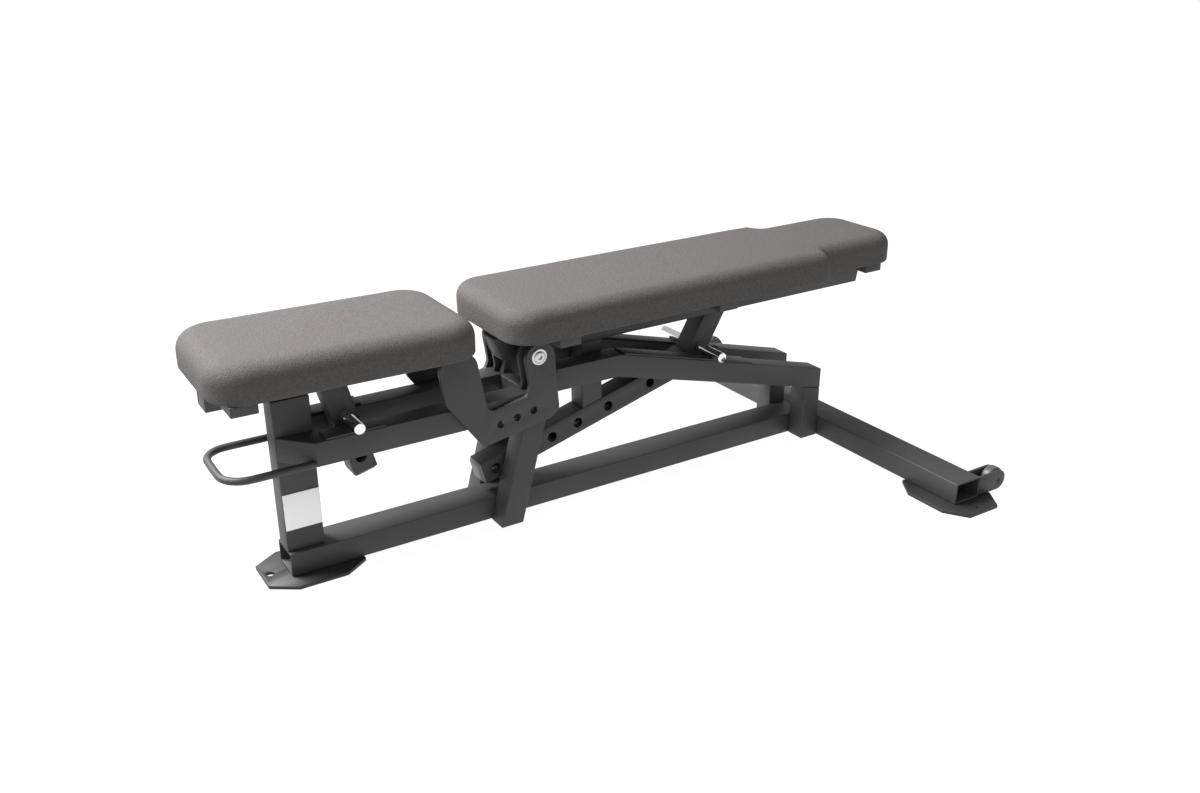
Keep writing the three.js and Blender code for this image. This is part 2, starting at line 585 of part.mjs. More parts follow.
// ---- seat frame, in its own level position about the seat pivot -------------------------------
function addSeatFrame() {
  const mid = SEAT_TUBE_BOTTOM + TUBE / 2;
  const top = SEAT_TUBE_BOTTOM + TUBE;
  const boltHole = cylinderY(SEAT_PIVOT.x, SEAT_PIVOT.z, -50, 50, SEAT_PIN_R + BOLT_PLAY);
  addPart(seatFrame, 'seat_main_tube', cut(
    tube([[-93, mid], [302, mid]], -TUBE / 2, TUBE / 2), boltHole,
  ), steel);
  addPair(seatFrame, 'seat_pivot_bush', TUBE / 2 + GAP, RAIL_OUT, blackPlastic,
    (low, high) => cut(cylinderY(SEAT_PIVOT.x, SEAT_PIVOT.z, low, high, SEAT_BUSH_R),
      cylinderY(SEAT_PIVOT.x, SEAT_PIVOT.z, low - 1, high + 1, SEAT_PIN_R + BOLT_PLAY)));

  const strutMid = (z) => seatRodHole.x - (z - seatRodHole.z) * tanLean;
  const strutTop = SEAT_TUBE_BOTTOM - GAP;
  const strutBottom = 152;
  const holes = [seatRodHole.z, 177].map((z) => cylinderY(strutMid(z), z, -50, 50, HOLE_R, 28));
  addPart(seatFrame, 'seat_strut', cut(tube(
    [[strutMid(strutTop), strutTop], [strutMid(strutBottom), strutBottom]], -TUBE / 2, TUBE / 2,
    { startCut: [1, 0] },
  ), ...holes), steel);
  const cap = endCap().rotateX(-Math.PI / 2).rotateY(rad(-LEAN));
  addPart(seatFrame, 'seat_strut_cap',
    cap.translate(strutMid(strutBottom), 0, strutBottom), blackPlastic);

  addPair(seatFrame, 'seat_cross_bar', TUBE / 2 + GAP, CROSS_BAR_HALF, steel,
    (low, high) => box(-82, -42, low, high, top - CROSS_BAR, top));
  addPad(seatFrame, 'seat', seatPlan, top + GAP);
  addPart(seatFrame, 'seat_locking_rod',
    cylinderY(seatRodHole.x, seatRodHole.z, -SEAT_ROD_HALF, SEAT_ROD_HALF, ROD_R, 28), chrome);
}

// Turns a whole sub-frame about its pivot, by degrees, in the way that lifts the +X end.
function tiltAbout(group, pivot, degrees) {
  const moved = turned({ x: 0, z: 0 }, pivot, degrees);
  group.rotation.y = -rad(degrees);
  group.position.set(moved.x, 0, moved.z);
}

addBase();
addUprights();
addPlates();
addHandle();
addPivots();
addWheels();
addBackFrame();
addSeatFrame();
tiltAbout(backFrame, BACK_PIVOT, BACK_TILT);
tiltAbout(seatFrame, SEAT_PIVOT, -SEAT_TILT);
model.position.x = -CENTRE_X;

export default model;
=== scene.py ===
import json
import math

import bmesh
import bpy
from mathutils import Matrix, Vector

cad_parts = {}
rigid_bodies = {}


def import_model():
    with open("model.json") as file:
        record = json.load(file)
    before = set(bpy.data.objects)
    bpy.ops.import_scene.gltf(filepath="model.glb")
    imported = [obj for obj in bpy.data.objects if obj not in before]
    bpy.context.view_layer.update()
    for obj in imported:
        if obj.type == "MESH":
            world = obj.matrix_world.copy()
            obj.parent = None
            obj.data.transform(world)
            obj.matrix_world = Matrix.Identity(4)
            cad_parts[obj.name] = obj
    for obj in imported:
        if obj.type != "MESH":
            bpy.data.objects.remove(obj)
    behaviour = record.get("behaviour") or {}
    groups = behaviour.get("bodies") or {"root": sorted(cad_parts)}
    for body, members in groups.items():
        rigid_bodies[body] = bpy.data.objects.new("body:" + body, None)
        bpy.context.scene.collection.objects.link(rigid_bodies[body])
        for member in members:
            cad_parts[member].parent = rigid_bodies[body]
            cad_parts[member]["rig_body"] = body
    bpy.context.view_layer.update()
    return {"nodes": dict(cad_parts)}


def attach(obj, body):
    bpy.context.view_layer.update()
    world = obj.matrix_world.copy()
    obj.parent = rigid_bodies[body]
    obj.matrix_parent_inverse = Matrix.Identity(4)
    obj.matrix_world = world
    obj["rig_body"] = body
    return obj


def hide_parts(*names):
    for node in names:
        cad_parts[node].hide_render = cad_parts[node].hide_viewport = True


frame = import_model()

bl_info = {
    "name": "Adjustable Weight Bench",
    "version": (1, 0, 0),
    "blender": (4, 5, 0),
    "location": "View3D > Sidebar > Bench",
    "description": "Builds the looks of an adjustable weight bench round its engineering model",
    "category": "Object",
}

MM = 0.001
X0 = -559.45  # the base beam's front end, in the bench's own frame
SIDES = (("near", -1), ("far", 1))

# The turned sub-frames: pivot (x, z) from the beam's front end, and tilt in degrees at rest.
BACK_PIVOT, BACK_TILT = (425.5, 306.0), 0.45
SEAT_PIVOT, SEAT_TILT = (278.0, 314.0), -0.4

TUBES = (
    "base_beam", "rear_cross_tube", "front_post", "front_rail_near", "front_rail_far",
    "mid_post_near", "mid_post_far", "rear_rail_near", "rear_rail_far", "rear_post_near",
    "rear_post_far", "mid_brace", "back_main_tube", "back_hanger_tube", "adjuster_tube",
    "back_strut", "seat_main_tube", "seat_strut", "back_cross_bar_pivot",
    "back_cross_bar_middle", "back_cross_bar_head", "seat_cross_bar_near",
    "seat_cross_bar_far",
)
# The foot plates are drawn in a darker copy of the powder coat: painted shade for the shade the
# bench casts on them.
FEET = ("front_foot_plate", "rear_foot_plate_near", "rear_foot_plate_far")
PLATES = (
    "pivot_plate_near", "pivot_plate_far", "back_cheek_near", "back_cheek_far",
    "front_wear_plate_near", "front_wear_plate_far", "rear_wear_plate_near",
    "rear_wear_plate_far",
    "wheel_bracket_outer_near", "wheel_bracket_outer_far", "wheel_bracket_inner_near",
    "wheel_bracket_inner_far", "seat_pivot_pin", "wheel_axle_near", "wheel_axle_far",
)
RODS = ("back_locking_rod", "seat_locking_rod")
BUSHES = (
    "back_pivot_bush_near", "back_pivot_bush_far", "seat_pivot_bush_near",
    "seat_pivot_bush_far",
)
END_CAPS = ("adjuster_cap", "seat_strut_cap")

# Edge radii in metres that are not settings.
LOOP_EDGE = END_PLATE_EDGE = 0.0006
ROD_EDGE = NUT_EDGE = 0.0008
BUSH_EDGE = 0.0005
CAP_EDGE = 0.0010
LABEL_EDGE = 0.0003
BOARD_EDGE = 0.0012

# Places and sizes in millimetres from the beam's front end.
WHEEL_CENTRE = (1174, 413, 26)
# For each body: its screws' (x, y) on each side, the height that their heads lie against, and
# the pivot and tilt of its sub-frame.
SCREWS = {
    "back": ([(463, 92), (786, 92), (1163, 64)], 328.3, BACK_PIVOT, BACK_TILT),
    "seat": ([(-62, 92)], 329.0, SEAT_PIVOT, SEAT_TILT),
}

SHRINK = 0.7  # how far inside its outline a cover starts, as a part of the most it may swell
SWELL_EASING = 6  # rounds of averaging that even out the foam's swell
SWELL_FRAMES = 20  # frames that the cover is given to swell in
COVER_STEP = 8  # spacing of the points along a pad's outline
ARC_DENSITY = 1.1  # how much closer together the points stand round a corner
TIGHTEST = 2.0  # smallest corner radius that the cover makes, in plan
BOARD_RECESS = 12.3  # depth of the recess for the board
BOARD_RIM = 13.2  # width of the cover's rim round the board
STAPLE_LINE = 9.7  # distance of the staples from the pad's outline
STAPLE_DROP = 0.25  # how far the staples' middles lie below the cover

CAMERA_PLACE, CAMERA_AIM = (-0.97595, -1.5813, 0.9601), (0.02035, -0.0209, 0.1806)
KEY_PLACE, KEY_AIM, KEY_SIZE = (-1.5, 1.1, 2.7), (-0.1, 0, 0.3), 1.5
FLOOR_REACH = 40


# ---- settings --------------------------------------------------------------------------------
class BenchSteelSettings(bpy.types.PropertyGroup):
    """Sizes and colours of the metal parts."""

    tube_edge: bpy.props.FloatProperty(
        name="Tube edge", description="Radius of the tubes' long edges",
        default=0.0016, unit="LENGTH")
    plate_edge: bpy.props.FloatProperty(
        name="Plate edge", description="Radius of the flat plates' edges",
        default=0.0007, unit="LENGTH")
    coat: bpy.props.FloatVectorProperty(
        name="Powder coat", description="Colour of the powder coat",
        default=(0.0335, 0.0335, 0.0338), subtype="COLOR")
    screw_head: bpy.props.FloatProperty(
        name="Screw head", description="Radius of the pad screws' heads",
        default=0.0075, unit="LENGTH")


class BenchPadSettings(bpy.types.PropertyGroup):
    """Sizes and colours of the pads."""

    leather: bpy.props.FloatVectorProperty(
        name="Leatherette", description="Colour of the cover",
        default=(0.079, 0.0728, 0.0712), subtype="COLOR")
    swell: bpy.props.FloatProperty(
        name="Swell", description="Most that the foam pushes the cover out",
        default=0.0015, unit="LENGTH")
    pressure: bpy.props.FloatProperty(
        name="Pressure", description="Push of the foam on the cover", default=4.0)
    staple_pitch: bpy.props.FloatProperty(
        name="Staple pitch", description="Distance between staples under a pad",
        default=0.024, unit="LENGTH")


class BenchStageSettings(bpy.types.PropertyGroup):
    """Light, floor and camera."""

    floor: bpy.props.FloatVectorProperty(
        name="Floor", description="Colour of the floor", default=(0.06, 0.06, 0.06),
        subtype="COLOR")
    floor_glow: bpy.props.FloatProperty(
        name="Floor glow", description="How strongly the floor is lit from below", default=0.97)
    key_light: bpy.props.FloatProperty(
        name="Key light", description="Power of the light above the seat end, in watts",
        default=330.0)
    sky: bpy.props.FloatProperty(
        name="Sky", description="Strength of the even light from all round", default=0.55)
    lens: bpy.props.FloatProperty(
        name="Lens", description="Focal length", default=33.92, unit="CAMERA")


# ---- helpers ---------------------------------------------------------------------------------
def link(obj):
    bpy.context.scene.collection.objects.link(obj)
    return obj


def object_of(bm, name):
    """A linked object with the mesh of bm, which is freed."""
    mesh = bpy.data.meshes.new(name)
    bm.to_mesh(mesh)
    bm.free()
    return link(bpy.data.objects.new(name, mesh))


def at(x, y, z):
    """A point given in millimetres from the beam's front end, in the bench's frame."""
    return Vector(((x + X0) * MM, y * MM, z * MM))


def turn_about(pivot, degrees):
    """The turn that lifts the head end by degrees about a pivot (x, z)."""
    centre = at(pivot[0], 0, pivot[1])
    turn = Matrix.Rotation(-math.radians(degrees), 4, "Y")
    return Matrix.Translation(centre) @ turn @ Matrix.Translation(-centre)


def settled(obj, modifiers):
    """Turns obj's live modifiers into a plain mesh and removes them."""
    depsgraph = bpy.context.evaluated_depsgraph_get()
    depsgraph.update()
    mesh = bpy.data.meshes.new_from_object(
        obj.evaluated_get(depsgraph), preserve_all_data_layers=True, depsgraph=depsgraph)
    for modifier in modifiers:
        obj.modifiers.remove(modifier)
    old = obj.data
    obj.data = mesh
    bpy.data.meshes.remove(old)
    return obj


def copy_of(node, name):
    """A welded copy of a CAD node's mesh, with its flat faces joined up."""
    mesh = frame["nodes"][node].data.copy()
    mesh.materials.clear()
    bm = bmesh.new()
    bm.from_mesh(mesh)
    bmesh.ops.remove_doubles(bm, verts=bm.verts, dist=1e-5)
    bmesh.ops.dissolve_limit(
        bm, angle_limit=math.radians(1), verts=bm.verts, edges=bm.edges)
    bm.to_mesh(mesh)
    bm.free()
    return link(bpy.data.objects.new(name, mesh))


def bevelled(node, width, material, segments=3, crease=30):
    """A CAD node with its edges rounded, standing for the plain one."""
    piece = copy_of(node, node.replace("_near", ".near").replace("_far", ".far") + ".finished")
    bevel = piece.modifiers.new("Rounded edges", "BEVEL")
    bevel.width = width
    bevel.segments = segments
    bevel.limit_method = "ANGLE"
    bevel.angle_limit = math.radians(crease)
    bevel.use_clamp_overlap = True
    settled(piece, [bevel])
    smooth(piece, 40)
    piece.data.materials.append(material)
    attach(piece, frame["nodes"][node]["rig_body"])
    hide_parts(node)
    return piece


def smooth(piece, crease):
    """Shades piece smooth, but for edges that turn by more than crease degrees."""
    mesh = piece.data
    mesh.shade_smooth()
    mesh.set_sharp_from_angle(angle=math.radians(crease))


# ---- materials -------------------------------------------------------------------------------
class Material:
    """A small builder for one node material on Object coordinates."""

    def __init__(self, name, color, roughness, metallic=0.0):
        self.material = bpy.data.materials.new(name)
        self.material.use_nodes = True
        self.tree = self.material.node_tree
        self.shader = self.tree.nodes["Principled BSDF"]
        self.shader.inputs["Base Color"].default_value = (*color, 1)
        self.shader.inputs["Roughness"].default_value = roughness
        self.shader.inputs["Metallic"].default_value = metallic
        self.coords = self.tree.nodes.new("ShaderNodeTexCoord").outputs["Object"]
        self.bump_out = None

    def noise(self, scale, detail=2.0, rough=0.5):
        node = self.tree.nodes.new("ShaderNodeTexNoise")
        node.inputs["Scale"].default_value = scale
        node.inputs["Detail"].default_value = detail
        node.inputs["Roughness"].default_value = rough
        self.tree.links.new(self.coords, node.inputs["Vector"])
        return node.outputs["Fac"]

    def cells(self, scale, feature="DISTANCE_TO_EDGE"):
        node = self.tree.nodes.new("ShaderNodeTexVoronoi")
        node.feature = feature
        node.inputs["Scale"].default_value = scale
        self.tree.links.new(self.coords, node.inputs["Vector"])
        return node.outputs["Distance"]

    def ramp(self, value, low, high, to_low, to_high):
        node = self.tree.nodes.new("ShaderNodeMapRange")
        for name, number in (("From Min", low), ("From Max", high),
                             ("To Min", to_low), ("To Max", to_high)):
            node.inputs[name].default_value = number
        self.tree.links.new(value, node.inputs["Value"])
        return node.outputs["Result"]

    def tint(self, value, dark, light):
        node = self.tree.nodes.new("ShaderNodeMix")
        node.data_type = "RGBA"
        node.inputs[6].default_value = (*dark, 1)
        node.inputs[7].default_value = (*light, 1)
        self.tree.links.new(value, node.inputs[0])
        self.tree.links.new(node.outputs[2], self.shader.inputs["Base Color"])

    def gloss(self, value):
        self.tree.links.new(value, self.shader.inputs["Roughness"])

    def bump(self, height, distance, strength):
        node = self.tree.nodes.new("ShaderNodeBump")
        node.inputs["Distance"].default_value = distance
        node.inputs["Strength"].default_value = strength
        self.tree.links.new(height, node.inputs["Height"])
        if self.bump_out:
            self.tree.links.new(self.bump_out, node.inputs["Normal"])
        self.bump_out = node.outputs["Normal"]
        self.tree.links.new(self.bump_out, self.shader.inputs["Normal"])


def scaled(color, factor):
    """A colour made darker or lighter by factor."""
    return tuple(min(1.0, c * factor) for c in color)


def powder_coat(name, color):
    """Matt charcoal powder coat: a fine speckle in its colour and a sandy texture."""
    look = Material(name, color, 0.6)
    speckle = look.noise(1100, 3, 0.75)
    look.tint(look.ramp(speckle, 0.38, 0.66, 0, 1), scaled(color, 0.72), scaled(color, 1.38))
    look.gloss(look.ramp(look.noise(14, 3), 0.35, 0.65, 0.5, 0.6))
    look.bump(speckle, 0.0003, 0.5)
    look.bump(look.noise(260, 2), 0.0004, 0.08)
    return look.material


def leatherette(color):
    """Warm grey matt leatherette: pebbles of about 2 mm with creases between them."""
    look = Material("Leatherette", color, 0.74)
    pebbles = look.ramp(look.cells(480, "SMOOTH_F1"), 0.0, 0.8, 1, 0)
    creases = look.ramp(look.cells(400), 0.0, 0.14, 0, 1)
    mottle = look.noise(300, 4, 0.7)
    look.tint(look.ramp(mottle, 0.34, 0.66, 0, 1), scaled(color, 0.82), scaled(color, 1.18))
    look.gloss(look.ramp(look.noise(9, 3), 0.3, 0.7, 0.70, 0.78))
    look.bump(pebbles, 0.0010, 0.45)
    look.bump(creases, 0.0005, 0.45)
    look.bump(look.noise(24, 3), 0.0012, 0.06)
    look.shader.inputs["Specular IOR Level"].default_value = 0.14
    return look.material


def chrome():
    """Polished plating with faint hazing."""
    look = Material("Polished chrome", (0.82, 0.83, 0.85), 0.08, 1.0)
    look.gloss(look.ramp(look.noise(120, 4), 0.3, 0.7, 0.06, 0.14))
    look.bump(look.noise(900, 2), 0.0001, 0.05)
    return look.material


def bright_steel():
    """Turned and plated steel: bright, with faint turning marks."""
    look = Material("Bright plated steel", (0.6, 0.6, 0.6), 0.24, 1.0)
    look.tint(look.noise(200, 3), (0.52, 0.52, 0.52), (0.66, 0.66, 0.66))
    look.gloss(look.ramp(look.noise(400, 3), 0.3, 0.7, 0.18, 0.3))
    look.bump(look.noise(900, 2), 0.0001, 0.1)
    return look.material


def zinc():
    """Bright zinc with crossing brush marks."""
    look = Material("Bright zinc", (0.46, 0.47, 0.49), 0.35, 1.0)
    look.tint(look.noise(300, 4), (0.38, 0.39, 0.41), (0.55, 0.56, 0.58))
    look.gloss(look.ramp(look.noise(80, 3), 0.3, 0.7, 0.28, 0.42))
    look.bump(look.noise(1200, 2), 0.0001, 0.15)
    return look.material


def plastic(name, color, grain=700, roughness=0.5, variation=0.1):
    """Moulded plastic with a fine spark-eroded grain."""
    look = Material(name, color, roughness)
    look.tint(look.noise(60, 3), scaled(color, 1 - variation), scaled(color, 1 + variation))
    look.gloss(look.ramp(look.noise(30, 2), 0.3, 0.7, roughness - 0.06, roughness + 0.06))
    look.bump(look.noise(grain, 2), 0.0002, 0.18)
    return look.material


def board_cloth():
    """Non-woven dust cloth stretched over plywood: matted short fibres."""
    look = Material("Dust cloth", (0.022, 0.021, 0.021), 0.9)
    fibres = look.noise(1400, 6, 0.8)
    look.tint(look.ramp(fibres, 0.35, 0.7, 0, 1), (0.012, 0.012, 0.012), (0.05, 0.048, 0.047))
    look.bump(fibres, 0.0004, 0.5)
    look.bump(look.noise(30, 3), 0.001, 0.2)
    return look.material


FINISHES = {}


def finish(name):
    """The shared finish of that name, made the first time it is asked for."""
    steel = bpy.context.scene.bench_steel
    pads = bpy.context.scene.bench_pads
    makers = {
        "coat": lambda: powder_coat("Powder coat", tuple(steel.coat)),
        # The feet's finish is the same powder coat darkened to 0.45, as painted shade for the
        # shade that falls on the foot plates under the bench.
        "foot": lambda: powder_coat("Foot plate coat", scaled(steel.coat, 0.45)),
        "leather": lambda: leatherette(tuple(pads.leather)),
        "chrome": chrome,
        "bolt": bright_steel,
        "zinc": zinc,
        "wheel": lambda: plastic("Grey polyurethane", (0.062, 0.062, 0.062), 500, 0.45),
        "bush": lambda: plastic("Black nylon", (0.012, 0.012, 0.012)),
        "cap": lambda: plastic("Grey end cap", (0.17, 0.17, 0.172), 400, 0.45),
        "label": lambda: plastic("White label plate", (0.93, 0.93, 0.93), 900, 0.7, 0.02),
        "cloth": board_cloth,
    }
    if name not in FINISHES:
        FINISHES[name] = makers[name]()
    return FINISHES[name]


# ---- geometry nodes --------------------------------------------------------------------------
def node_group(name, sizes):
    """A geometry node group with a geometry input, named size inputs and a geometry output."""
    group = bpy.data.node_groups.new(name, "GeometryNodeTree")
    group.interface.new_socket("Geometry", in_out="INPUT", socket_type="NodeSocketGeometry")
    sockets = {}
    for label, kind, value in sizes:
        socket = group.interface.new_socket(label, in_out="INPUT", socket_type=kind)
        socket.default_value = value
        sockets[label] = socket.identifier
    group.interface.new_socket("Geometry", in_out="OUTPUT", socket_type="NodeSocketGeometry")
    return group, group.nodes.new("NodeGroupInput"), group.nodes.new("NodeGroupOutput"), sockets


def add_group(obj, group, values):
    """Puts a node group on obj as a live modifier, with values by socket identifier."""
    modifier = obj.modifiers.new(group.name, "NODES")
    modifier.node_group = group
    for identifier, value in values.items():
        modifier[identifier] = value
    return modifier


def finish_group(group, source, output, material):
    """Ends a node group in Realize Instances and Set Material."""
    realize = group.nodes.new("GeometryNodeRealizeInstances")
    paint = group.nodes.new("GeometryNodeSetMaterial")
    paint.inputs["Material"].default_value = material
    group.links.new(source, realize.inputs[0])
    group.links.new(realize.outputs[0], paint.inputs["Geometry"])
    group.links.new(paint.outputs[0], output.inputs[0])


def staples_group(material):
    """Staples along a closed path: each is a flat wire crown, square to the path's edge."""
    group, inputs, output, sockets = node_group("Staples along a rim", [
        ("Pitch", "NodeSocketFloat", 0.024), ("Crown", "NodeSocketFloat", 0.010),
        ("Wire", "NodeSocketFloat", 0.0009)])
    nodes, links = group.nodes, group.links
    to_curve = nodes.new("GeometryNodeMeshToCurve")
    resample = nodes.new("GeometryNodeResampleCurve")
    resample.mode = "LENGTH"
    links.new(inputs.outputs["Geometry"], to_curve.inputs[0])
    links.new(to_curve.outputs[0], resample.inputs["Curve"])
    links.new(inputs.outputs["Pitch"], resample.inputs["Length"])
    crown = nodes.new("GeometryNodeMeshCube")
    size = nodes.new("ShaderNodeCombineXYZ")
    links.new(inputs.outputs["Crown"], size.inputs[0])
    links.new(inputs.outputs["Wire"], size.inputs[1])
    links.new(inputs.outputs["Wire"], size.inputs[2])
    links.new(size.outputs[0], crown.inputs["Size"])
    tangent = nodes.new("GeometryNodeInputTangent")
    align = nodes.new("FunctionNodeAlignRotationToVector")
    align.axis = "X"
    links.new(tangent.outputs[0], align.inputs["Vector"])
    place = nodes.new("GeometryNodeInstanceOnPoints")
    links.new(resample.outputs[0], place.inputs["Points"])
    links.new(crown.outputs["Mesh"], place.inputs["Instance"])
    links.new(align.outputs[0], place.inputs["Rotation"])
    finish_group(group, place.outputs[0], output, material)
    return group, sockets


def screws_group(material):
    """A button-head screw and its washer on every point, head downwards."""
    group, inputs, output, sockets = node_group("Screws on points", [
        ("Head radius", "NodeSocketFloat", 0.0075), ("Head height", "NodeSocketFloat", 0.004),
        ("Sides", "NodeSocketInt", 24)])
    nodes, links = group.nodes, group.links

    def disc(radius_factor, top_factor, height_factor, drop_factor):
        cone = nodes.new("GeometryNodeMeshCone")
        links.new(inputs.outputs["Sides"], cone.inputs["Vertices"])
        for socket, factor, source in (
                ("Radius Bottom", radius_factor, "Head radius"),
                ("Radius Top", top_factor, "Head radius"),
                ("Depth", height_factor, "Head height")):
            times = nodes.new("ShaderNodeMath")
            times.operation = "MULTIPLY"
            times.inputs[1].default_value = factor
            links.new(inputs.outputs[source], times.inputs[0])
            links.new(times.outputs[0], cone.inputs[socket])
        drop = nodes.new("ShaderNodeMath")
        drop.operation = "MULTIPLY"
        drop.inputs[1].default_value = drop_factor
        links.new(inputs.outputs["Head height"], drop.inputs[0])
        shift = nodes.new("ShaderNodeCombineXYZ")
        links.new(drop.outputs[0], shift.inputs[2])
        move = nodes.new("GeometryNodeTransform")
        links.new(cone.outputs["Mesh"], move.inputs["Geometry"])
        links.new(shift.outputs[0], move.inputs["Translation"])
        return move.outputs[0]

    join = nodes.new("GeometryNodeJoinGeometry")
    for shape in ((1.5, 1.5, 0.3, -0.3), (0.72, 1.0, 0.7, -1.0), (0.45, 0.72, 0.2, -1.2)):
        links.new(disc(*shape), join.inputs[0])
    place = nodes.new("GeometryNodeInstanceOnPoints")
    links.new(inputs.outputs["Geometry"], place.inputs["Points"])
    links.new(join.outputs[0], place.inputs["Instance"])
    finish_group(group, place.outputs[0], output, material)
    return group, sockets


# ---- pads ------------------------------------------------------------------------------------
def corner_arc(corners, i, count):
    """Corner i of an outline of (x, y, radius) corners, rounded off in count steps."""
    x, y, radius = corners[i]
    here = Vector((x, y))
    before = (Vector(corners[i - 1][:2]) - here).normalized()
    after = (Vector(corners[(i + 1) % len(corners)][:2]) - here).normalized()
    half = before.angle(after) / 2
    centre = here + (before + after).normalized() * (radius / math.sin(half))
    first = here + before * (radius / math.tan(half)) - centre
    turn = 1 if before.x * after.y - before.y * after.x < 0 else -1
    points = []
    for k in range(count + 1):
        angle = turn * (math.pi - 2 * half) * k / count
        c, s = math.cos(angle), math.sin(angle)
        points.append(centre + Vector((first.x * c - first.y * s, first.x * s + first.y * c)))
    return points


def point_counts(corners):
    """For each corner, the steps along its arc and along the side after it."""
    counts = []
    for i, (_, _, radius) in enumerate(corners):
        arc = corner_arc(corners, i, 1)
        following = corner_arc(corners, (i + 1) % len(corners), 1)
        counts.append((max(4, round((arc[1] - arc[0]).length / COVER_STEP * ARC_DENSITY)),
                       max(1, round((following[0] - arc[1]).length / COVER_STEP))))
    return counts


def rounded_plan(corners, counts):
    """The closed outline in millimetres, with the given counts of points."""
    points = []
    arcs = [corner_arc(corners, i, arc) for i, (arc, _) in enumerate(counts)]
    for i, (_, pieces) in enumerate(counts):
        start, end = arcs[i][-1], arcs[(i + 1) % len(arcs)][0]
        points += arcs[i]
        points += [start.lerp(end, k / pieces) for k in range(1, pieces)]
    return points


def inset(corners, distance):
    """The corners of an outline moved inwards: outer corners tighten and inner ones open out."""
    moved = []
    for i, (x, y, radius) in enumerate(corners):
        here = Vector((x, y))
        before = (here - Vector(corners[i - 1][:2])).normalized()
        after = (Vector(corners[(i + 1) % len(corners)][:2]) - here).normalized()
        normals = Vector((-before.y, before.x)), Vector((-after.y, after.x))
        miter = (normals[0] + normals[1]) / (1 + normals[0].dot(normals[1]))
        outer = before.x * after.y - before.y * after.x > 0
        rounded = max(radius - distance, TIGHTEST) if outer else radius + distance
        moved.append((*(here + miter * distance), rounded))
    return moved


class Pad:
    """One pad: its outline, its heights when level, and the sub-frame that it is fixed to."""

    def __init__(self, name, body, corners, bottom, top, edges, spine_ends, pivot, tilt):
        self.name, self.body, self.corners = name, body, corners
        self.bottom, self.top = bottom, top
        self.top_edge, self.bottom_edge = edges
        xs = [corner[0] for corner in corners]
        self.spine_low, self.spine_high = min(xs) + spine_ends[0], max(xs) - spine_ends[1]
        self.turn = turn_about(pivot, tilt)

    def spine(self, point):
        """The nearest point of the pad's middle line."""
        return Vector((min(max(point.x, self.spine_low), self.spine_high), 0))


def pads():
    """The seat pad and the back pad, with their sizes in millimetres."""
    seat = Pad(
        "seat_pad", "seat",
        [(-104.7, -126, 58), (311.9, -126, 58), (311.9, 126, 58), (-104.7, 126, 58)],
        bottom=344.3, top=400.4, edges=(28, 2.2), spine_ends=(120, 120),
        pivot=SEAT_PIVOT, tilt=SEAT_TILT)
    back = Pad(
        "back_pad", "back",
        [(359.2, -126, 52), (1016, -126, 17), (1032, -97.5, 5), (1223.6, -97.5, 56),
         (1223.6, 97.5, 56), (1032, 97.5, 5), (1016, 126, 17), (359.2, 126, 52)],
        bottom=344.6, top=399.2, edges=(24, 2.2), spine_ends=(120, 97),
        pivot=BACK_PIVOT, tilt=BACK_TILT)
    return seat, back


def pad_rings(pad, shrink):
    """Rings of points from the middle of the underside, round the edge, to the middle of the
    top. The cover starts shrink inside the pad's outline."""
    counts = point_counts(pad.corners)
    under, lip, side, shoulder, crown = 8, 4, 4, 8, 12
    rings = []

    def ring(distance, height, towards=0.0):
        plan = rounded_plan(inset(pad.corners, shrink + distance), counts)
        rings.append([
            Vector((*p.lerp(pad.spine(p), towards), height)) for p in plan])

    low, high = pad.bottom, pad.top - shrink
    for k in range(under):
        ring(BOARD_RIM + 1, low + BOARD_RECESS, 1 - k / under)
    ring(BOARD_RIM, low + BOARD_RECESS)
    ring(BOARD_RIM, low + BOARD_RECESS / 2)
    ring(BOARD_RIM, low)
    radius = pad.bottom_edge
    for k in range(lip + 1):
        angle = math.pi / 2 * k / lip
        ring(radius * (1 - math.sin(angle)), low + radius * (1 - math.cos(angle)))
    radius = pad.top_edge
    side_low, side_high = low + pad.bottom_edge, high - radius
    for k in range(1, side):
        ring(0, side_low + (side_high - side_low) * k / side)
    for k in range(shoulder + 1):
        angle = math.pi / 2 * k / shoulder
        ring(radius * (1 - math.cos(angle)), side_high + radius * math.sin(angle))
    for k in range(1, crown):
        ring(radius, high, k / crown)
    return rings


def closed_shell(name, rings, spine):
    """A closed quad shell through rings that all have the same count of points."""
    bm = bmesh.new()
    rows = [[bm.verts.new(at(*p)) for p in ring] for ring in rings]
    count = len(rows[0])
    for lower, upper in zip(rows, rows[1:]):
        for i in range(count):
            j = (i + 1) % count
            bm.faces.new((lower[i], lower[j], upper[j], upper[i]))
    for row, ring, flip in ((rows[0], rings[0], True), (rows[-1], rings[-1], False)):
        middles = [bm.verts.new(at(*spine(p), p.z)) for p in ring]
        for i in range(count):
            j = (i + 1) % count
            corners = [row[i], row[j], middles[j], middles[i]]
            bm.faces.new(corners[::-1] if flip else corners)
    bmesh.ops.remove_doubles(bm, verts=bm.verts, dist=2e-5)
    bmesh.ops.dissolve_degenerate(bm, edges=bm.edges, dist=1e-6)
    bmesh.ops.recalc_face_normals(bm, faces=bm.faces)
    return object_of(bm, name)


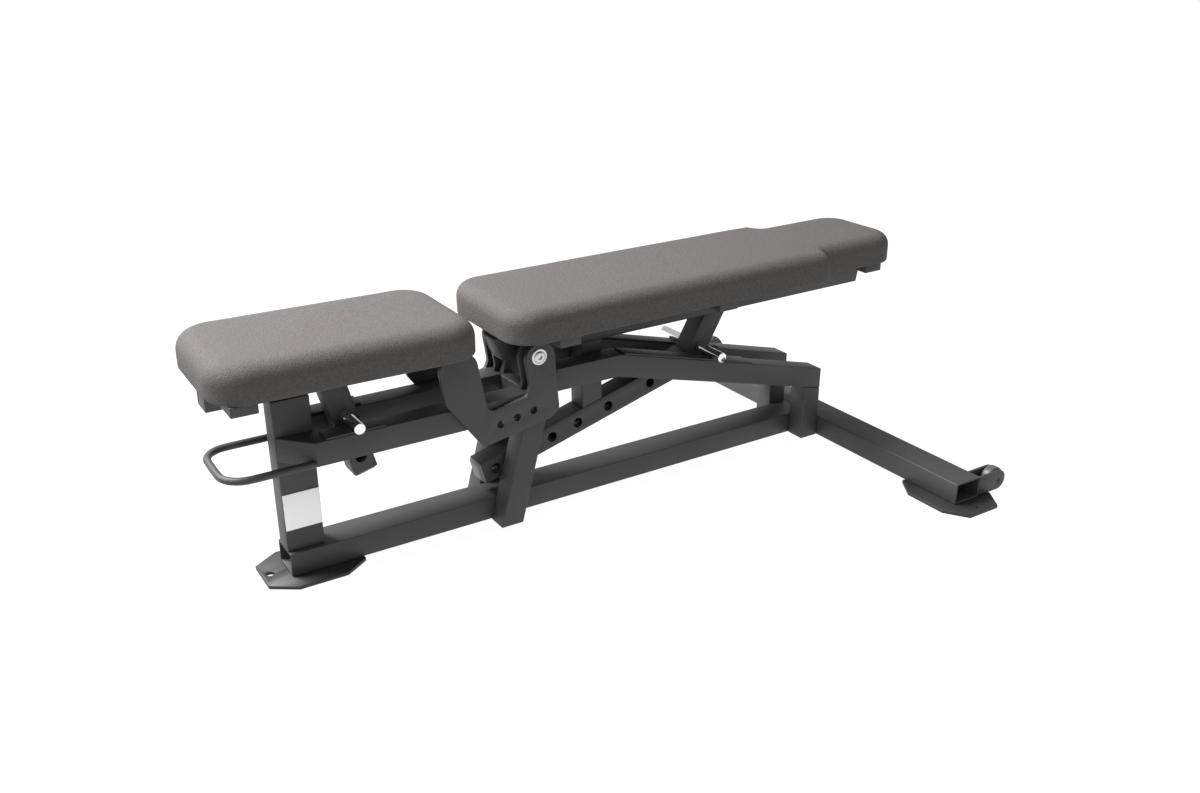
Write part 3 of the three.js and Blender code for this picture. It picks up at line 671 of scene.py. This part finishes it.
def inflate(obj, pressure, cap, held_below):
    """Swells obj as a cloth cover over foam. The outward part of the swell is kept, evened out
    and no larger than cap. Points lower than held_below stay where they are."""
    mesh = obj.data
    start = [v.co.copy() for v in mesh.vertices]
    held = obj.vertex_groups.new(name="Held")
    held.add([v.index for v in mesh.vertices if v.co.z < held_below], 1.0, "REPLACE")
    cloth = obj.modifiers.new("Cover", "CLOTH")
    settings = cloth.settings
    settings.use_pressure = True
    settings.uniform_pressure_force = pressure
    settings.effector_weights.gravity = 0
    settings.vertex_group_mass = held.name
    settings.tension_stiffness = settings.compression_stiffness = 40
    settings.bending_stiffness = 2
    cloth.collision_settings.use_collision = False
    cloth.point_cache.frame_start, cloth.point_cache.frame_end = 1, SWELL_FRAMES
    scene = bpy.context.scene
    for number in range(1, SWELL_FRAMES + 1):
        scene.frame_set(number)
    depsgraph = bpy.context.evaluated_depsgraph_get()
    swollen = [v.co.copy() for v in obj.evaluated_get(depsgraph).data.vertices]
    obj.modifiers.remove(cloth)
    scene.frame_set(1)
    obj.vertex_groups.clear()

    normals = [v.normal.copy() for v in mesh.vertices]
    moves = [min(max((after - before).dot(normal), 0.0), cap)
             for before, after, normal in zip(start, swollen, normals)]
    neighbours = [[] for _ in moves]
    for edge in mesh.edges:
        first, second = edge.vertices
        neighbours[first].append(second)
        neighbours[second].append(first)
    free = [co.z >= held_below for co in start]
    for _ in range(SWELL_EASING):
        moves = [(move + sum(moves[i] for i in near)) / (1 + len(near)) if loose else 0.0
                 for move, near, loose in zip(moves, neighbours, free)]
    for vertex, before, normal, move in zip(mesh.vertices, start, normals, moves):
        vertex.co = before + normal * move


def make_pad(pad, settings):
    """The cover of a pad, swollen by its foam."""
    cap = settings.swell
    shell = closed_shell(pad.name + ".cover", pad_rings(pad, cap / MM * SHRINK), pad.spine)
    held_below = (pad.bottom + pad.bottom_edge) * MM
    inflate(shell, settings.pressure, cap, held_below)
    rounding = shell.modifiers.new("Rounding", "SUBSURF")
    rounding.levels = rounding.render_levels = 1
    settled(shell, [rounding])
    shell.data.transform(pad.turn)
    shell.data.shade_smooth()
    shell.data.materials.append(finish("leather"))
    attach(shell, pad.body)
    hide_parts(pad.name)


def make_board(pad, settings):
    """The board under a pad, covered in dust cloth, and the staples round its rim."""
    board = bevelled(pad.name + "_board", BOARD_EDGE, finish("cloth"))
    rim = rounded_plan(inset(pad.corners, STAPLE_LINE), point_counts(pad.corners))
    height = pad.bottom - STAPLE_DROP
    mesh = bpy.data.meshes.new(pad.name + ".staples")
    count = len(rim)
    mesh.from_pydata(
        [at(*p, height) for p in rim], [(i, (i + 1) % count) for i in range(count)], [])
    staples = link(bpy.data.objects.new(pad.name + ".staples", mesh))
    group, sockets = staples_group(finish("zinc"))
    modifier = add_group(staples, group, {sockets["Pitch"]: settings.staple_pitch})
    settled(staples, [modifier])
    staples.data.transform(pad.turn)
    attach(staples, pad.body)


# ---- tube ends -------------------------------------------------------------------------------
def end_plate(name, body, x, height, lean, pivot, tilt):
    """A plate welded into the front mouth of a square tube whose end is cut at x, at mid height,
    and leans forward by lean for each unit of height."""
    half, sunk, thick = 16.7, 0.5, 3.0
    corners = [(x - lean * up + sunk + deep, height + up)
               for up, deep in ((-half, 0), (-half, thick), (half, thick), (half, 0))]
    bm = bmesh.new()
    sides = [[bm.verts.new(at(a, y, b)) for a, b in corners] for y in (-half, half)]
    for i in range(4):
        j = (i + 1) % 4
        bm.faces.new((sides[0][i], sides[0][j], sides[1][j], sides[1][i]))
    bm.faces.new(sides[0])
    bm.faces.new(sides[1])
    bmesh.ops.recalc_face_normals(bm, faces=bm.faces)
    plate = object_of(bm, name)
    edges = plate.modifiers.new("Rounded edges", "BEVEL")
    edges.width, edges.segments = END_PLATE_EDGE, 2
    settled(plate, [edges])
    plate.data.transform(turn_about(pivot, tilt))
    smooth(plate, 40)
    plate.data.materials.append(finish("coat"))
    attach(plate, body)


# ---- turned pieces ---------------------------------------------------------------------------
def turned(name, profile, centre, sides=72):
    """A shape turned about a Y axis through centre, from (radius, y) in millimetres. The profile
    starts and ends on the axis, or else closes on itself."""
    bm = bmesh.new()
    rings = []
    for k in range(sides):
        angle = 2 * math.pi * k / sides
        c, s = math.cos(angle) * MM, math.sin(angle) * MM
        rings.append([bm.verts.new(centre + Vector((r * c, y * MM, r * s)))
                      for r, y in profile])
    count = len(profile)
    steps = count - 1 if profile[0][0] == 0 else count
    for k, ring in enumerate(rings):
        after = rings[(k + 1) % sides]
        for i in range(steps):
            j = (i + 1) % count
            bm.faces.new((ring[i], ring[j], after[j], after[i]))
    bmesh.ops.remove_doubles(bm, verts=bm.verts, dist=1e-6)
    bmesh.ops.recalc_face_normals(bm, faces=bm.faces)
    return object_of(bm, name)


def pivot_bolt():
    """The back pivot's bolt: a washer, a domed head with a hexagon socket, and the shank."""
    face, shank_end, shank, dome = 78.6, 81.6, 7.9, 4.0
    centre = at(BACK_PIVOT[0], 0, BACK_PIVOT[1])
    head = [
        (14.0, 0.0), (14.0, 1.2), (13.4, 1.8), (11.0, 1.8), (10.6, 1.1), (9.9, 1.1),
        (9.7, 2.0), (9.2, 2.8), (8.2, 3.5), (6.8, 3.9), (5.4, dome),
    ]
    profile = [(0.0, shank_end), (shank - 1, shank_end), (shank, shank_end - 1), (shank, -face)]
    profile += [(r, -face - height) for r, height in head]
    profile += [(0.0, -face - dome)]
    bolt = turned("back_pivot.bolt", profile, centre)
    key_size, key_depth = 4.7, 3.2
    mouth, end = -face - dome - 2, -face - dome + key_depth
    socket = turned(
        "socket", [(0.0, mouth), (key_size, mouth), (key_size, end), (0.0, end)],
        centre, sides=6)
    hollow = bolt.modifiers.new("Socket", "BOOLEAN")
    hollow.object = socket
    hollow.solver = "EXACT"
    settled(bolt, [hollow])
    bpy.data.objects.remove(socket)
    smooth(bolt, 35)
    bolt.data.materials.append(finish("bolt"))
    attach(bolt, "frame")
    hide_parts("back_pivot_bolt")


# ---- operators -------------------------------------------------------------------------------
class BENCH_OT_tubes(bpy.types.Operator):
    """Round the edges of the tubes and bars and give them their powder coat"""

    bl_idname = "bench.tubes"
    bl_label = "Tubes and Bars"

    def execute(self, context):
        width = context.scene.bench_steel.tube_edge
        for node in TUBES:
            bevelled(node, width, finish("coat"))
        bevelled("front_loop", LOOP_EDGE, finish("coat"), 2, 45)
        end_plate("back_main_tube.end_plate", "back", 381, 308, 0.4, BACK_PIVOT, BACK_TILT)
        end_plate("seat_main_tube.end_plate", "seat", -93, 324, 0.0, SEAT_PIVOT, SEAT_TILT)
        return {"FINISHED"}


class BENCH_OT_plates(bpy.types.Operator):
    """Break the edges of the flat plates and give them their powder coat; the foot plates get a
    darker copy of the coat, which is painted shade
    """

    bl_idname = "bench.plates"
    bl_label = "Plates"

    def execute(self, context):
        width = context.scene.bench_steel.plate_edge
        for node in PLATES:
            bevelled(node, width, finish("coat"), 2)
        # The foot plates get the darkened copy of the coat: painted shade.
        for node in FEET:
            bevelled(node, width, finish("foot"), 2)
        return {"FINISHED"}


class BENCH_OT_fittings(bpy.types.Operator):
    """Finish the chromed rods, the pivot bolt and its nut, the bushes and the end caps"""

    bl_idname = "bench.fittings"
    bl_label = "Rods, Bolts and Caps"

    def execute(self, context):
        for node in RODS:
            bevelled(node, ROD_EDGE, finish("chrome"))
        bevelled("back_pivot_nut", NUT_EDGE, finish("zinc"))
        pivot_bolt()
        for node in BUSHES:
            bevelled(node, BUSH_EDGE, finish("bush"), 2)
        for node in END_CAPS:
            bevelled(node, CAP_EDGE, finish("cap"))
        return {"FINISHED"}


class BENCH_OT_label(bpy.types.Operator):
    """Finish the plain white plate on the front post"""

    bl_idname = "bench.label"
    bl_label = "Label Plate"

    def execute(self, context):
        bevelled("label_plate", LABEL_EDGE, finish("label"), 2)
        return {"FINISHED"}


class BENCH_OT_wheels(bpy.types.Operator):
    """Make the two transport wheels, each with a crowned tread and a hub"""

    bl_idname = "bench.wheels"
    bl_label = "Wheels"

    def execute(self, context):
        profile = [
            (4.2, -8.7), (8.6, -8.7), (9.4, -8.2), (10.4, -7.6), (16.6, -7.6), (17.6, -8.2),
            (18.6, -8.6), (20.2, -8.3), (21.3, -7.2), (21.8, -5.6), (22.0, -3.0), (22.0, 0.0),
        ]
        profile += [(r, -y) for r, y in reversed(profile[:-1])]
        x, out, height = WHEEL_CENTRE
        for side, way in SIDES:
            wheel = turned(f"wheel.{side}", profile, at(x, way * out, height))
            smooth(wheel, 50)
            wheel.data.materials.append(finish("wheel"))
            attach(wheel, f"{side}_wheel")
            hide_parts(f"wheel_{side}")
        return {"FINISHED"}


class BENCH_OT_pads(bpy.types.Operator):
    """Make the two upholstered pads, swollen by their foam"""

    bl_idname = "bench.pads"
    bl_label = "Pads"

    def execute(self, context):
        for pad in pads():
            make_pad(pad, context.scene.bench_pads)
        return {"FINISHED"}


class BENCH_OT_boards(bpy.types.Operator):
    """Finish the boards under the pads and staple the covers round them"""

    bl_idname = "bench.boards"
    bl_label = "Boards and Staples"

    def execute(self, context):
        for pad in pads():
            make_board(pad, context.scene.bench_pads)
        return {"FINISHED"}


class BENCH_OT_screws(bpy.types.Operator):
    """Put the pad screws into the cross bars from below"""

    bl_idname = "bench.screws"
    bl_label = "Pad Screws"

    def execute(self, context):
        group, sockets = screws_group(finish("zinc"))
        radius = context.scene.bench_steel.screw_head
        for body, (spots, height, pivot, tilt) in SCREWS.items():
            points = [at(x, way * y, height) for x, y in spots for _, way in SIDES]
            mesh = bpy.data.meshes.new(f"pad_screws.{body}")
            mesh.from_pydata(points, [], [])
            screws = link(bpy.data.objects.new(f"pad_screws.{body}", mesh))
            modifier = add_group(screws, group, {sockets["Head radius"]: radius})
            settled(screws, [modifier])
            screws.data.transform(turn_about(pivot, tilt))
            smooth(screws, 35)
            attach(screws, body)
        return {"FINISHED"}


class BENCH_OT_stage(bpy.types.Operator):
    """Set up the floor, the soft studio light and the camera"""

    bl_idname = "bench.stage"
    bl_label = "Stage"

    def execute(self, context):
        scene, settings = context.scene, context.scene.bench_stage
        mesh = bpy.data.meshes.new("Floor")
        corners = [(x * FLOOR_REACH, y * FLOOR_REACH, 0)
                   for x, y in ((-1, -1), (1, -1), (1, 1), (-1, 1))]
        mesh.from_pydata(corners, [], [(0, 1, 2, 3)])
        floor = link(bpy.data.objects.new("Floor", mesh))
        look = Material("Studio floor", tuple(settings.floor), 0.9)
        look.shader.inputs["Specular IOR Level"].default_value = 0.1
        look.shader.inputs["Emission Color"].default_value = (1, 1, 1, 1)
        look.shader.inputs["Emission Strength"].default_value = settings.floor_glow
        floor.data.materials.append(look.material)

        world = bpy.data.worlds.new("Studio")
        world.use_nodes = True
        background = world.node_tree.nodes["Background"]
        background.inputs["Color"].default_value = (1, 1, 1, 1)
        paths = world.node_tree.nodes.new("ShaderNodeLightPath")
        strength = world.node_tree.nodes.new("ShaderNodeMapRange")
        strength.inputs["To Min"].default_value = settings.sky
        strength.inputs["To Max"].default_value = 1.0
        links = world.node_tree.links
        links.new(paths.outputs["Is Camera Ray"], strength.inputs["Value"])
        links.new(strength.outputs["Result"], background.inputs["Strength"])
        scene.world = world

        lamp = bpy.data.lights.new("Key", "AREA")
        lamp.shape = "SQUARE"
        lamp.size = KEY_SIZE
        lamp.energy = settings.key_light
        key = link(bpy.data.objects.new("Key", lamp))
        key.location = KEY_PLACE
        key.rotation_euler = (key.location - Vector(KEY_AIM)).to_track_quat("Z", "Y").to_euler()

        lens = bpy.data.cameras.new("Camera")
        lens.lens = settings.lens
        lens.sensor_width = 36
        lens.sensor_fit = "HORIZONTAL"
        lens.clip_start, lens.clip_end = 0.05, 200
        camera = link(bpy.data.objects.new("Camera", lens))
        camera.location = CAMERA_PLACE
        aim = Vector(CAMERA_AIM) - camera.location
        camera.rotation_euler = aim.to_track_quat("-Z", "Y").to_euler()
        scene.camera = camera
        scene.view_settings.view_transform = "Standard"
        return {"FINISHED"}


class BENCH_PT_panel(bpy.types.Panel):
    """The bench's settings and the steps that build it"""

    bl_label = "Weight Bench"
    bl_idname = "BENCH_PT_panel"
    bl_space_type = "VIEW_3D"
    bl_region_type = "UI"
    bl_category = "Bench"

    def draw(self, context):
        scene = context.scene
        for group in (scene.bench_steel, scene.bench_pads, scene.bench_stage):
            column = self.layout.column()
            for name in group.__annotations__:
                column.prop(group, name)
        for operator in OPERATORS:
            self.layout.operator(operator.bl_idname)


SETTINGS = (
    ("bench_steel", BenchSteelSettings),
    ("bench_pads", BenchPadSettings),
    ("bench_stage", BenchStageSettings),
)
OPERATORS = (
    BENCH_OT_tubes, BENCH_OT_plates, BENCH_OT_fittings, BENCH_OT_label, BENCH_OT_wheels,
    BENCH_OT_pads, BENCH_OT_boards, BENCH_OT_screws, BENCH_OT_stage,
)


def register():
    for name, settings in SETTINGS:
        bpy.utils.register_class(settings)
        setattr(bpy.types.Scene, name, bpy.props.PointerProperty(type=settings))
    for cls in (*OPERATORS, BENCH_PT_panel):
        bpy.utils.register_class(cls)


def unregister():
    for cls in (BENCH_PT_panel, *reversed(OPERATORS)):
        bpy.utils.unregister_class(cls)
    for name, settings in reversed(SETTINGS):
        delattr(bpy.types.Scene, name)
        bpy.utils.unregister_class(settings)


def main():
    register()
    bpy.ops.bench.tubes()
    bpy.ops.bench.plates()
    bpy.ops.bench.fittings()
    bpy.ops.bench.label()
    bpy.ops.bench.wheels()
    bpy.ops.bench.pads()
    bpy.ops.bench.boards()
    bpy.ops.bench.screws()
    bpy.ops.bench.stage()


if __name__ == "__main__":
    main()
